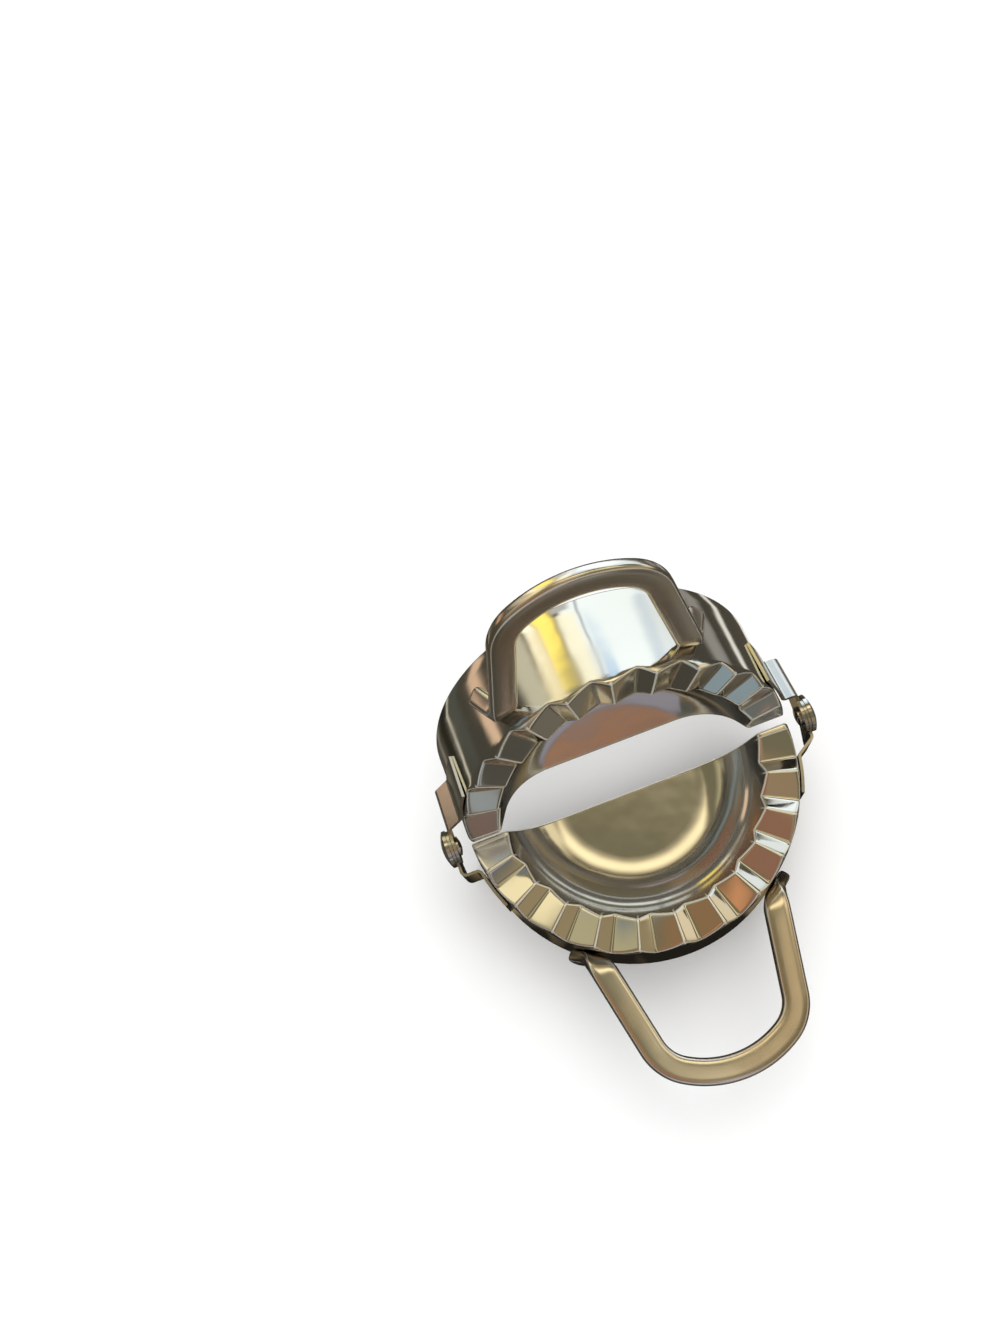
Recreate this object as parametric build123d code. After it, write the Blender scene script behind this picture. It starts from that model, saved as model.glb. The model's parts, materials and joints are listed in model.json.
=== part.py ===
"""Hinged empanada press: two identical stamped halves on two rivets, in millimetres.

Each half is a pressed sheet (a half-round pocket, a toothed sealing ring and a deep
cutting skirt), with a bent bar handle and two bent hinge straps spot-welded to its skirt.
The upper half is the lower half turned half a turn about Z, so the saw teeth of the two
rings nest when the press is closed. Only its straps differ: both of its ears stand inside
the lower ones. Everything is drawn with the hinge axis on X and the mating plane at z = 0,
the handle towards -Y, and is moved to the floor at the end.
"""
import math
import os

from build123d import *

# ---- stamped half ----
rim_radius = 35.0            # outer radius of the cutting rim
rim_flare = 0.5              # the skirt's growth in radius, mating plane to rim
skirt_height = 21.0          # mating plane to cutting rim
sheet = 0.6                  # sheet thickness
shoulder_radius = 4.0        # rounding of the ring's outer edge
shoulder_start = 1.2         # below the mating plane, where that rounding starts
shoulder_arc = 50.0          # degrees of that rounding that are drawn
hinge_edge_gap = 0.3         # sheet edge to hinge plane

# ---- toothed ring ----
tooth_height = 1.0           # crest above and root below the middle of the ring
tooth_pitch = 15.0           # degrees
tooth_steep_width = 5.4      # degrees, the steep side of each tooth
tooth_count = 11
seal_gap = 0.15              # each ring stands this far off the mating plane

# ---- pocket ----
ring_width = 7.1             # pocket mouth to skirt, at the mating plane
pocket_wall_angle = 29.0     # degrees from upright
pocket_wall_depth = 3.5      # depth of the straight part of the wall
pocket_depth = 9.4
pocket_floor_inset = 12.2    # pocket mouth to the edge of the flat floor

# ---- turned-down lip at each end of the ring ----
lip_outer_inset = 1.3        # skirt to the lip's outer edge
lip_inner_overlap = 1.5      # lip's inner edge inside the pocket mouth
lip_depth = 16.8
lip_foot_width = 2.6
lip_notch_depth = 8.0

# ---- handle ----
bar_width = 5.3
bar_thickness = 3.1
bar_edge_radius = 1.1
handle_level = 4.0           # bar centre below the mating plane
handle_reach = 61.5          # hinge axis to the outermost edge of the bar
handle_end_radius = 21.0     # bar centre line, across the end
handle_corner_radius = 9.0   # bar centre line, at the corners
leg_spread = 18.6            # bar centre line at leg_spread_distance
leg_spread_distance = 32.0
leg_angle = 11.5             # degrees, legs opening towards the skirt
leg_stop = 4.2               # skirt to the end of the plain bar
foot_thickness = 2.6
foot_width = 3.9
foot_edge_radius = 1.0
foot_outreach = 4.6          # along the skirt, from the leg to the end of the foot
foot_drop = 9.0              # end of the foot below the bar
foot_bend_share = 0.4        # share of the foot that its bend takes
weld_gap = 0.02              # welded piece to skirt

# ---- hinge straps ----
strap_thickness = 0.6
strap_top = 1.0              # below the mating plane
strap_height = 10.2
strap_tail_distance = 14.6   # hinge axis to the end of the tail, across
strap_bend_radius = 1.0      # centre line of the bends
riser_distance = 6.0         # hinge axis to the middle of the riser
riser_slant = 2.4            # a slanting riser's run along Y
ear_radius = 3.6
ear_standoff = 2.6           # cutting rim to the centre of the inner ear
ear_gap = 0.1                # between the two ears of a hinge

# ---- rivets ----
rivet_radius = 1.5
rivet_hole_clearance = 0.05
rivet_head_radius = 3.9
rivet_head_height = 1.7
rivet_head_edge = 0.7        # upright edge of the domed head
rivet_tail_radius = 2.0
rivet_tail_height = 0.9
rivet_seat_gap = 0.05

# ---- pose ----
rest_raise = 69.0            # degrees, upper half raised from flat open

over = 2.0                   # how far a cutting tool runs past what it cuts
full_turn = 360
ring_radius = rim_radius - rim_flare
pocket_mouth_radius = ring_radius - ring_width
pocket_flat_radius = pocket_mouth_radius - pocket_floor_inset
lip_outer_radius = ring_radius - lip_outer_inset
lip_inner_radius = pocket_mouth_radius - lip_inner_overlap
tooth_flat_width = tooth_pitch - tooth_steep_width
inner_ear_offset = rim_radius + ear_standoff
outer_ear_offset = inner_ear_offset + strap_thickness + ear_gap
big = 4 * rim_radius
leg_way = Vector(math.sin(math.radians(leg_angle)), math.cos(math.radians(leg_angle)))
leg_inward = Vector(-leg_way.Y, leg_way.X)


def skirt_radius(depth):
    """Return the skirt's outer radius at a depth below the mating plane."""
    return ring_radius + (rim_radius - ring_radius) * depth / skirt_height


def polar(radius, degrees, level=0.0):
    """Return the point at a radius and azimuth."""
    angle = math.radians(degrees)
    return Vector(radius * math.cos(angle), radius * math.sin(angle), level)


def spun(edges):
    """Revolve a closed outline in the XZ plane about Z, on the handle's side."""
    face = Plane.XZ * make_face(edges)
    return revolve(face, Axis.Z, full_turn / 2).rotate(Axis.Z, full_turn / 2)


def skirt_block(inset, depth):
    """Return the solid inside the skirt and shoulder, drawn in by an inset."""
    corner = skirt_radius(shoulder_start) - shoulder_radius
    radius = shoulder_radius - inset
    shoulder = CenterArc((corner, -shoulder_start), radius, 0, shoulder_arc)
    crown = shoulder @ 1
    sides = Polyline(
        crown,
        (0, crown.Y),
        (0, -depth),
        (skirt_radius(depth) - inset, -depth),
        shoulder @ 0,
    )
    return spun(shoulder + sides)


def pocket_block(offset):
    """Return the pocket as a solid, grown outwards by an offset."""
    slope = math.radians(pocket_wall_angle)
    grow_out = offset * math.cos(slope)
    grow_down = offset * math.sin(slope)
    crease = (
        pocket_mouth_radius - pocket_wall_depth * math.tan(slope) + grow_out,
        -pocket_wall_depth - grow_down,
    )
    top = shoulder_radius + over
    rise = top - crease[1]
    mouth = (crease[0] + rise * math.tan(slope), top)
    flat_edge = (pocket_flat_radius, -pocket_depth - offset)
    bowl = TangentArc(flat_edge, crease, tangent=(1, 0))
    sides = Polyline(crease, mouth, (0, top), (0, flat_edge[1]), flat_edge)
    return spun(bowl + sides)


def tooth_line():
    """Return (azimuth, height) along the ring: roots, crests and the two flat ends."""
    middle = (tooth_count - 1) / 2
    first_root = 270 + tooth_steep_width / 2 - (middle + 1) * tooth_pitch
    points = [(min(178.0, first_root - 1), -tooth_height)]
    for index in range(tooth_count + 1):
        root = first_root + index * tooth_pitch
        points.append((root, -tooth_height))
        points.append((root + tooth_flat_width, tooth_height))
    points.append((max(362.0, points[-1][0] + 1), tooth_height))
    return points


def above_teeth(inset):
    """Return the space above the toothed ring's working face, lowered by an inset."""
    near = pocket_flat_radius + over
    far = rim_radius + 4 * over
    top = shoulder_radius + over
    sections = []
    for azimuth, height in tooth_line():
        level = height - seal_gap - inset
        corners = [
            polar(near, azimuth, level),
            polar(far, azimuth, level),
            polar(far, azimuth, top),
            polar(near, azimuth, top),
        ]
        sections.append(Face(Wire.make_polygon(corners)))
    return loft(sections, ruled=True)


def handle_side(shape):
    """Keep only what stands clear of the hinge plane on the handle's side."""
    slab = Box(big, big, big, align=(Align.CENTER, Align.MAX, Align.CENTER))
    return shape & (Pos(0, -hinge_edge_gap, 0) * slab)


def end_lip():
    """Return the flat lip under the ring's end at +X, before it is trimmed to the ring."""
    outline = Polyline(
        (lip_inner_radius, over),
        (lip_outer_radius, over),
        (lip_outer_radius, -lip_depth),
        (lip_outer_radius - lip_foot_width, -lip_depth),
        (lip_inner_radius + sheet, -lip_notch_depth),
        (lip_inner_radius, -lip_notch_depth + sheet),
        close=True,
    )
    face = Plane.XZ * make_face(outline)
    return Pos(0, -hinge_edge_gap, 0) * extrude(face, sheet)


def make_mould():
    """Return one stamped half: skirt, toothed ring, pocket and end lips in one sheet."""
    outside = skirt_block(0, skirt_height) - above_teeth(0) - pocket_block(0)
    inside = skirt_block(sheet, skirt_height + over) - above_teeth(sheet) - pocket_block(sheet)
    lip = end_lip()
    lips = (lip + lip.mirror(Plane.YZ)) & outside
    return handle_side((outside - inside) + lips)


def bar_section(centre, heading, width, height, edge):
    """Return a rounded bar section across a heading, with its width kept level."""
    across = Vector(0, 0, 1).cross(heading)
    plane = Plane(origin=centre, x_dir=across, z_dir=heading)
    return plane * RectangleRounded(width, height, edge)


def leg_meets(radius):
    """Return the point where the centre line of the leg at +X crosses a circle about Z."""
    start = Vector(leg_spread, -leg_spread_distance)
    along = start.dot(leg_way)
    return start + leg_way * (-along - math.sqrt(along**2 - start.dot(start) + radius**2))


def corner_centre(end_centre):
    """Return the centre of the corner between the leg at +X and the handle's curved end."""
    start = Vector(leg_spread, -leg_spread_distance) + leg_inward * handle_corner_radius
    arm = start - end_centre
    along = arm.dot(leg_way)
    reach = handle_end_radius - handle_corner_radius
    return start - leg_way * (along + math.sqrt(along**2 - arm.dot(arm) + reach**2))


def make_bar():
    """Return the plain bar of the handle, from leg to leg."""
    end_centre = Vector(0, handle_end_radius + bar_width / 2 - handle_reach)
    corner = corner_centre(end_centre)
    leg_end = leg_meets(skirt_radius(handle_level) + leg_stop)
    leg_foot = corner - leg_inward * handle_corner_radius
    end_start = end_centre + (corner - end_centre).normalized() * handle_end_radius
    leg = Line(leg_end, leg_foot)
    bend = TangentArc(leg_foot, end_start, tangent=leg_way * -1)
    half = leg + bend
    mirrored_start = Vector(-end_start.X, end_start.Y)
    end = ThreePointArc(end_start, end_centre - Vector(0, handle_end_radius), mirrored_start)
    path = Pos(0, 0, -handle_level) * Wire((half + end + half.mirror(Plane.YZ)).edges())
    section = bar_section(path @ 0, path % 0, bar_width, bar_thickness, bar_edge_radius)
    return sweep(section, path=path)


def foot_section(share):
    """Return the foot's section at a share of its way out and down along the skirt."""
    level = handle_level + share * foot_drop
    radius = skirt_radius(level) + weld_gap + foot_thickness / 2
    meet = leg_meets(skirt_radius(handle_level) + weld_gap + foot_thickness / 2)
    meet_azimuth = math.degrees(math.atan2(meet.Y, meet.X))
    azimuth = meet_azimuth + math.degrees(share * foot_outreach / radius)
    heading = polar(foot_outreach, azimuth + 90, -foot_drop)
    across = heading.cross(polar(1, azimuth))
    plane = Plane(origin=polar(radius, azimuth, -level), x_dir=across, z_dir=heading)
    return plane * RectangleRounded(foot_width, foot_thickness, foot_edge_radius)


def make_foot():
    """Return the pressed foot at +X, bent out and down along the skirt it is welded to."""
    start = leg_meets(skirt_radius(handle_level) + leg_stop) - Vector(0, 0, handle_level)
    bar_end = bar_section(start, leg_way, bar_width, bar_thickness, bar_edge_radius)
    return loft([bar_end, foot_section(foot_bend_share), foot_section(1)])


def make_handle():
    """Return the bar handle with its two feet, cut to the skirt it is welded to."""
    foot = make_foot()
    handle = make_bar() + foot + foot.mirror(Plane.YZ)
    return handle - skirt_block(-weld_gap, skirt_height)


def strap_path(ear_offset, slant):
    """Return the bent centre line of the strap at +X: tail, riser and ear."""
    radius = skirt_radius(strap_top + strap_height) + weld_gap + strap_thickness / 2
    foot_distance = riser_distance + slant / 2
    foot = Vector(math.sqrt(radius**2 - foot_distance**2), -foot_distance)
    foot_azimuth = math.degrees(math.atan2(foot.Y, foot.X))
    tail_azimuth = -math.degrees(math.asin(strap_tail_distance / radius))
    tail = CenterArc((0, 0), radius, tail_azimuth, foot_azimuth - tail_azimuth)
    corner = Vector(ear_offset, slant / 2 - riser_distance)
    path = Wire((tail + Polyline(foot, corner, (ear_offset, ear_radius))).edges())
    bends = path.vertices().sort_by(Axis.Y)[1:3]
    return path.fillet_2d(strap_bend_radius, bends)


def strap_outline():
    """Return the strap's outline seen along the hinge: a band that runs into a round ear.

    The band keeps its full height past the last bend, so closed halves stay apart there.
    """
    band_low = -strap_top - strap_height
    band_end = riser_slant / 2 - riser_distance + strap_bend_radius
    band = Polyline(
        (band_end, -strap_top),
        (-big, -strap_top),
        (-big, band_low),
        (band_end, band_low),
        close=True,
    )
    ear = CenterArc((0, 0), ear_radius, 0, full_turn)
    neck = Line((band_end, -strap_top), (band_end, band_low))
    return make_hull(ear.edges() + neck.edges()) + make_face(band)


def make_strap(ear_offset, slant):
    """Return the hinge strap at +X, with its rivet hole."""
    height = strap_top + strap_height + ear_radius
    path = strap_path(ear_offset, slant)
    plane = Plane(origin=path @ 0, x_dir=Vector(0, 0, 1).cross(path % 0), z_dir=path % 0)
    level = (ear_radius - strap_top - strap_height) / 2
    band = Pos(0, 0, level) * sweep(plane * Rectangle(strap_thickness, height), path=path)
    outline = extrude(Plane.YZ * strap_outline(), big)
    hole = extrude(Plane.YZ * Circle(rivet_radius + rivet_hole_clearance), big)
    return (band & outline) - hole - skirt_block(-weld_gap, skirt_height)


def make_rivet():
    """Return the rivet at +X: flattened tail, shank and domed outer head."""
    ears_start = inner_ear_offset - strap_thickness / 2 - rivet_seat_gap
    ears_end = outer_ear_offset + strap_thickness / 2 + rivet_seat_gap
    tail_start = ears_start - rivet_tail_height
    dome_start = ears_end + rivet_head_edge
    head_end = ears_end + rivet_head_height
    tail = ThreePointArc(
        (tail_start, 0),
        (tail_start + rivet_tail_height / 8, rivet_tail_radius / 2),
        (tail_start + rivet_tail_height / 2, rivet_tail_radius),
    )
    body = Polyline(
        tail @ 1,
        (ears_start, rivet_tail_radius),
        (ears_start, rivet_radius),
        (ears_end, rivet_radius),
        (ears_end, rivet_head_radius),
        (dome_start, rivet_head_radius),
    )
    dome_height = rivet_head_height - rivet_head_edge
    dome_radius = (rivet_head_radius**2 + dome_height**2) / (2 * dome_height)
    dome = RadiusArc((dome_start, rivet_head_radius), (head_end, 0), dome_radius)
    axis = Line((head_end, 0), (tail_start, 0))
    return revolve(make_face(tail + body + dome + axis), Axis.X, full_turn)


def raised(shape):
    """Turn a lower piece into its twin on the upper half, raised to the rest pose."""
    return shape.rotate(Axis.Z, full_turn / 2).rotate(Axis.X, rest_raise)


def on_floor(shape):
    """Move a piece so that the origin is under the middle of the press, on the floor."""
    raise_angle = math.radians(rest_raise)
    back = rim_radius * math.cos(raise_angle) + skirt_height * math.sin(raise_angle)
    return Pos(0, (handle_reach - back) / 2, skirt_height) * shape


def main():
    """Build every piece and write one STEP file for each."""
    mould = make_mould()
    handle = make_handle()
    wide_square_strap = make_strap(outer_ear_offset, 0)
    wide_slanting_strap = make_strap(outer_ear_offset, riser_slant)
    narrow_square_strap = make_strap(inner_ear_offset, 0)
    narrow_slanting_strap = make_strap(inner_ear_offset, riser_slant)
    rivet = make_rivet()
    pieces = {
        "lower_mould": mould,
        "lower_handle": handle,
        "lower_left_hinge_strap": wide_square_strap.mirror(Plane.YZ),
        "lower_right_hinge_strap": wide_slanting_strap,
        "upper_mould": raised(mould),
        "upper_handle": raised(handle),
        "upper_left_hinge_strap": raised(narrow_slanting_strap),
        "upper_right_hinge_strap": raised(narrow_square_strap.mirror(Plane.YZ)),
        "left_hinge_rivet": rivet.mirror(Plane.YZ),
        "right_hinge_rivet": rivet,
    }
    os.makedirs("parts", exist_ok=True)
    for name, shape in pieces.items():
        export_step(on_floor(shape), f"parts/{name}.step")


if __name__ == "__main__":
    main()
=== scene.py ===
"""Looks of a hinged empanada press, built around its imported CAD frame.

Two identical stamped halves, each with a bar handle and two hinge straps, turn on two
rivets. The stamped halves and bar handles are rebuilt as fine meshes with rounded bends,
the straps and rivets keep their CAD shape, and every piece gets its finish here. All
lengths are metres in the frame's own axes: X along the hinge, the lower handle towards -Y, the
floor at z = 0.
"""

import json
import logging
import math
from dataclasses import dataclass, replace
from enum import Enum

import bmesh
import bpy
import numpy as np
from mathutils import Matrix, Vector


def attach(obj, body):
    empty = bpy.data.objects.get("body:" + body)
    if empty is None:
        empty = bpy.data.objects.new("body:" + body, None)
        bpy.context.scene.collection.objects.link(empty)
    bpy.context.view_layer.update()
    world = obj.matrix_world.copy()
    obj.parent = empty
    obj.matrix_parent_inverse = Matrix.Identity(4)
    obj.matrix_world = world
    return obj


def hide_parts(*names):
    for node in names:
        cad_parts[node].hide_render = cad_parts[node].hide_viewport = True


LOG = logging.getLogger("press")
MM = 0.001
RUN_ATTRIBUTE = "run_along_bar"
# Share of painted light and wear at each point, and the pale cream it is painted in: painted
# highlights along bends and edges, partly worn bare steel on cut edges.
PAINTED_LIGHT_AND_WEAR_ATTRIBUTE = "painted_light_and_wear_share"
PAINTED_LIGHT_AND_WEAR_TINT = (0.97, 0.93, 0.80)

Triple = tuple[float, float, float]
Socket = bpy.types.NodeSocket

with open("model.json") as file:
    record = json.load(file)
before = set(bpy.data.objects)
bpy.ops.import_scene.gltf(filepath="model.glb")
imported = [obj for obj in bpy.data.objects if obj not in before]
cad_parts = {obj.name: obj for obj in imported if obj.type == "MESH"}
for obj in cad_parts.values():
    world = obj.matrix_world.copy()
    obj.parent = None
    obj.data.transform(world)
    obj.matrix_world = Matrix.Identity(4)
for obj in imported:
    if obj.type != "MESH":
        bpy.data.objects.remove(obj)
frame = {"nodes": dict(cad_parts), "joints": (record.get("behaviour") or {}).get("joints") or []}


class Half(Enum):
    """The two stamped halves, by the body that each rides on."""

    LOWER = "lower_half"
    UPPER = "upper_half"


class Grain(Enum):
    """How a metal surface was worked, which sets the stretch of its fine marks."""

    ROLLED = (1.0, 9.0, 1.0)
    POLISHED = (1.0, 1.0, 1.0)
    BRUSHED_ALONG_HINGE = (0.08, 1.0, 1.0)
    BRUSHED_ALONG_BAR = (0.035, 1.0, 1.0)


# ---- Finishes ----


class NodeSheet:
    """A small helper that lays out one material's nodes."""

    def __init__(self, name: str) -> None:
        """Start an empty material.

        Args:
            name: Name of the material.
        """
        self.material = bpy.data.materials.new(name)
        self.material.use_nodes = True
        self.tree = self.material.node_tree
        self.tree.nodes.clear()
        self.place = self.node("TexCoord", {}).outputs["Object"]

    def node(self, kind: str, feeds: dict[object, object], **settings: object) -> bpy.types.Node:
        """Add a node, set its properties and feed its inputs.

        Args:
            kind: Blender's node type, without its first word.
            feeds: For each input, by name or number, a socket to link or a value to set.
            **settings: Properties of the node to set.

        Returns:
            The new node.
        """
        made = self.tree.nodes.new(f"ShaderNode{kind}")
        for key, value in settings.items():
            setattr(made, key, value)
        for name, value in feeds.items():
            socket = made.inputs[name]
            if isinstance(value, Socket):
                self.tree.links.new(value, socket)
            else:
                socket.default_value = (*value, 1.0) if socket.type == "RGBA" else value
        return made

    def math(self, operation: str, *values: object) -> Socket:
        """Add a math node, fed with its values or sockets in order."""
        return self.node("Math", dict(enumerate(values)), operation=operation).outputs[0]

    def ramp(
        self, value: Socket, low: float, high: float, to_low: float = 0.0, to_high: float = 1.0
    ) -> Socket:
        """Map a value from low and high to two other values, with smooth ends."""
        feeds = {0: value, 1: low, 2: high, 3: to_low, 4: to_high}
        return self.node("MapRange", feeds, interpolation_type="SMOOTHSTEP").outputs["Result"]

    def noise(self, vector: Socket, scale: float, detail: float, roughness: float = 0.5) -> Socket:
        """Sample noise at a place, with its scale per metre and its octaves."""
        feeds = {"Vector": vector, "Scale": scale, "Detail": detail, "Roughness": roughness}
        return self.node("TexNoise", feeds).outputs["Fac"]

    def blend(self, share: Socket, first: object, second: object) -> Socket:
        """Mix two colours, each a socket or three channels, by the second one's share."""
        made = self.node("Mix", {"Factor": share, "A": first, "B": second}, data_type="RGBA")
        return made.outputs["Result"]

    def bump(self, height: Socket, distance: float, **feeds: object) -> Socket:
        """Bend the normal by a height from 0 to 1, which stands for a distance in metres."""
        feeds |= {"Height": height, "Distance": distance, "Strength": 1.0}
        return self.node("Bump", feeds).outputs["Normal"]

    def output(self, shader: Socket) -> bpy.types.Material:
        """Close the sheet with a surface output and return the material."""
        self.node("OutputMaterial", {"Surface": shader})
        return self.material

    def glow(self, colour: Socket) -> bpy.types.Material:
        """Close the sheet with a glow, which is seen in mirrors and lights nothing.

        Args:
            colour: Socket of the glow's colour.

        Returns:
            The finished material.
        """
        made = self.output(self.node("Emission", {"Color": colour}).outputs["Emission"])
        made.cycles.emission_sampling = "NONE"
        return made


@dataclass(frozen=True)
class SteelFinish:
    """A stainless steel finish: tint, tarnish, gloss, smudges, working marks, waviness, and painted
    light and wear on marked points.
    """

    name: str
    slot: str
    tint: Triple
    tarnish_tint: Triple
    gloss: float
    dull: float
    grain: Grain
    grain_scale: float
    grain_depth: float
    wave_scale: float
    wave_depth: float
    paints_light_and_wear: bool = False
    octaves: float = 3.0
    grain_roughness: float = 0.6
    smudge_roughness: float = 0.55
    smudge_scale: float = 55.0
    smudge_span: tuple[float, float] = (0.45, 0.75)
    smudge_share: float = 0.6
    tarnish_scale: float = 28.0
    tarnish_octaves: float = 2.0
    tarnish_span: tuple[float, float] = (0.35, 0.7)
    painted_light_and_wear_metallic: float = -0.75
    painted_light_and_wear_roughness: float = 0.3

    def material(self) -> bpy.types.Material:
        """Build the node material.

        Returns:
            The finished material.
        """
        sheet = NodeSheet(self.name)
        along = sheet.place
        if self.grain is Grain.BRUSHED_ALONG_BAR:
            along = sheet.node("Attribute", {}, attribute_name=RUN_ATTRIBUTE).outputs["Vector"]
        stretch = sheet.node("Mapping", {"Vector": along, "Scale": self.grain.value})
        marks = sheet.noise(
            stretch.outputs["Vector"], self.grain_scale, self.octaves, self.grain_roughness
        )
        smudges = sheet.noise(sheet.place, self.smudge_scale, self.octaves, self.smudge_roughness)
        tarnish = sheet.noise(sheet.place, self.tarnish_scale, self.tarnish_octaves)
        waves = sheet.noise(sheet.place, self.wave_scale, self.octaves)

        colour = sheet.blend(sheet.ramp(tarnish, *self.tarnish_span), self.tint, self.tarnish_tint)
        dulling = sheet.math("MULTIPLY", sheet.ramp(smudges, *self.smudge_span), self.smudge_share)
        dulling = sheet.math("MULTIPLY_ADD", marks, 1 - self.smudge_share, dulling)
        roughness = sheet.ramp(dulling, 0.0, 1.0, self.gloss, self.dull)
        rolled = sheet.bump(waves, self.wave_depth)
        metallic = 1.0
        # Painted light and wear: marked points turn pale cream, less metallic and rougher, painting
        # highlights along bends, crests and corners, a duller painted reflection on the ring's
        # first face, and partly worn bare steel on cut edges.
        if self.paints_light_and_wear:
            painted_light_and_wear = sheet.node("Attribute", {}, attribute_name=PAINTED_LIGHT_AND_WEAR_ATTRIBUTE).outputs["Fac"]
            metallic = sheet.math("MULTIPLY_ADD", painted_light_and_wear, self.painted_light_and_wear_metallic, 1.0)
            colour = sheet.blend(painted_light_and_wear, colour, PAINTED_LIGHT_AND_WEAR_TINT)
            roughness = sheet.math("MULTIPLY_ADD", painted_light_and_wear, self.painted_light_and_wear_roughness, roughness)
        surface = {"Base Color": colour, "Metallic": metallic, "Roughness": roughness}
        surface["Normal"] = sheet.bump(marks, self.grain_depth, Normal=rolled)
        return sheet.output(sheet.node("BsdfPrincipled", surface).outputs["BSDF"])


POLISHED_SHEET = SteelFinish(
    name="polished_stainless_sheet", slot="polished_steel",
    tint=(0.66, 0.64, 0.59), tarnish_tint=(0.61, 0.585, 0.53),
    gloss=0.075, dull=0.17, grain=Grain.ROLLED, grain_scale=900.0, grain_depth=0.4e-6,
    wave_scale=45.0, wave_depth=0.16e-3, paints_light_and_wear=True,
)
SATIN_BAR = SteelFinish(
    name="satin_stainless_bar", slot="satin_steel",
    tint=(0.74, 0.715, 0.67), tarnish_tint=(0.69, 0.59, 0.48),
    gloss=0.17, dull=0.32, grain=Grain.BRUSHED_ALONG_BAR, grain_scale=2600.0,
    grain_depth=0.8e-6, wave_scale=70.0, wave_depth=0.05e-3, paints_light_and_wear=True,
)
STRAP_PLATE = SteelFinish(
    name="rolled_stainless_strap", slot="strap_steel",
    tint=(0.58, 0.56, 0.52), tarnish_tint=(0.50, 0.48, 0.44),
    gloss=0.18, dull=0.30, grain=Grain.BRUSHED_ALONG_HINGE, grain_scale=1800.0,
    grain_depth=1.0e-6, wave_scale=80.0, wave_depth=0.03e-3,
)
RIVET_HEAD = SteelFinish(
    name="polished_rivet_head", slot="rivet_steel",
    tint=(0.64, 0.62, 0.58), tarnish_tint=(0.58, 0.56, 0.51),
    gloss=0.07, dull=0.2, grain=Grain.POLISHED, grain_scale=1500.0, grain_depth=0.8e-6,
    wave_scale=120.0, wave_depth=0.03e-3,
)


# ---- Where things are ----


@dataclass(frozen=True)
class HingePlace:
    """The hinge in the frame, and how far the upper half stands open."""

    centre: Vector
    raise_degrees: float

    @classmethod
    def from_frame(cls) -> "HingePlace":
        """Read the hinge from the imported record."""
        joint = frame["joints"][0]
        return cls(Vector(joint["pos_m"]), -joint["range_deg"][0])

    def matrix(self, half: Half) -> Matrix:
        """Return the move from a half's own axes to the frame.

        Args:
            half: The half that is placed.

        Returns:
            A 4 x 4 matrix. A half's own axes have the hinge on X, the mating plane at
            z = 0 and the handle towards -Y.
        """
        place = Matrix.Translation(self.centre)
        if half is Half.LOWER:
            return place
        raised = Matrix.Rotation(math.radians(self.raise_degrees), 4, "X")
        return place @ raised @ Matrix.Rotation(math.pi, 4, "Z")


# ---- Stamped halves ----


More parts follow.
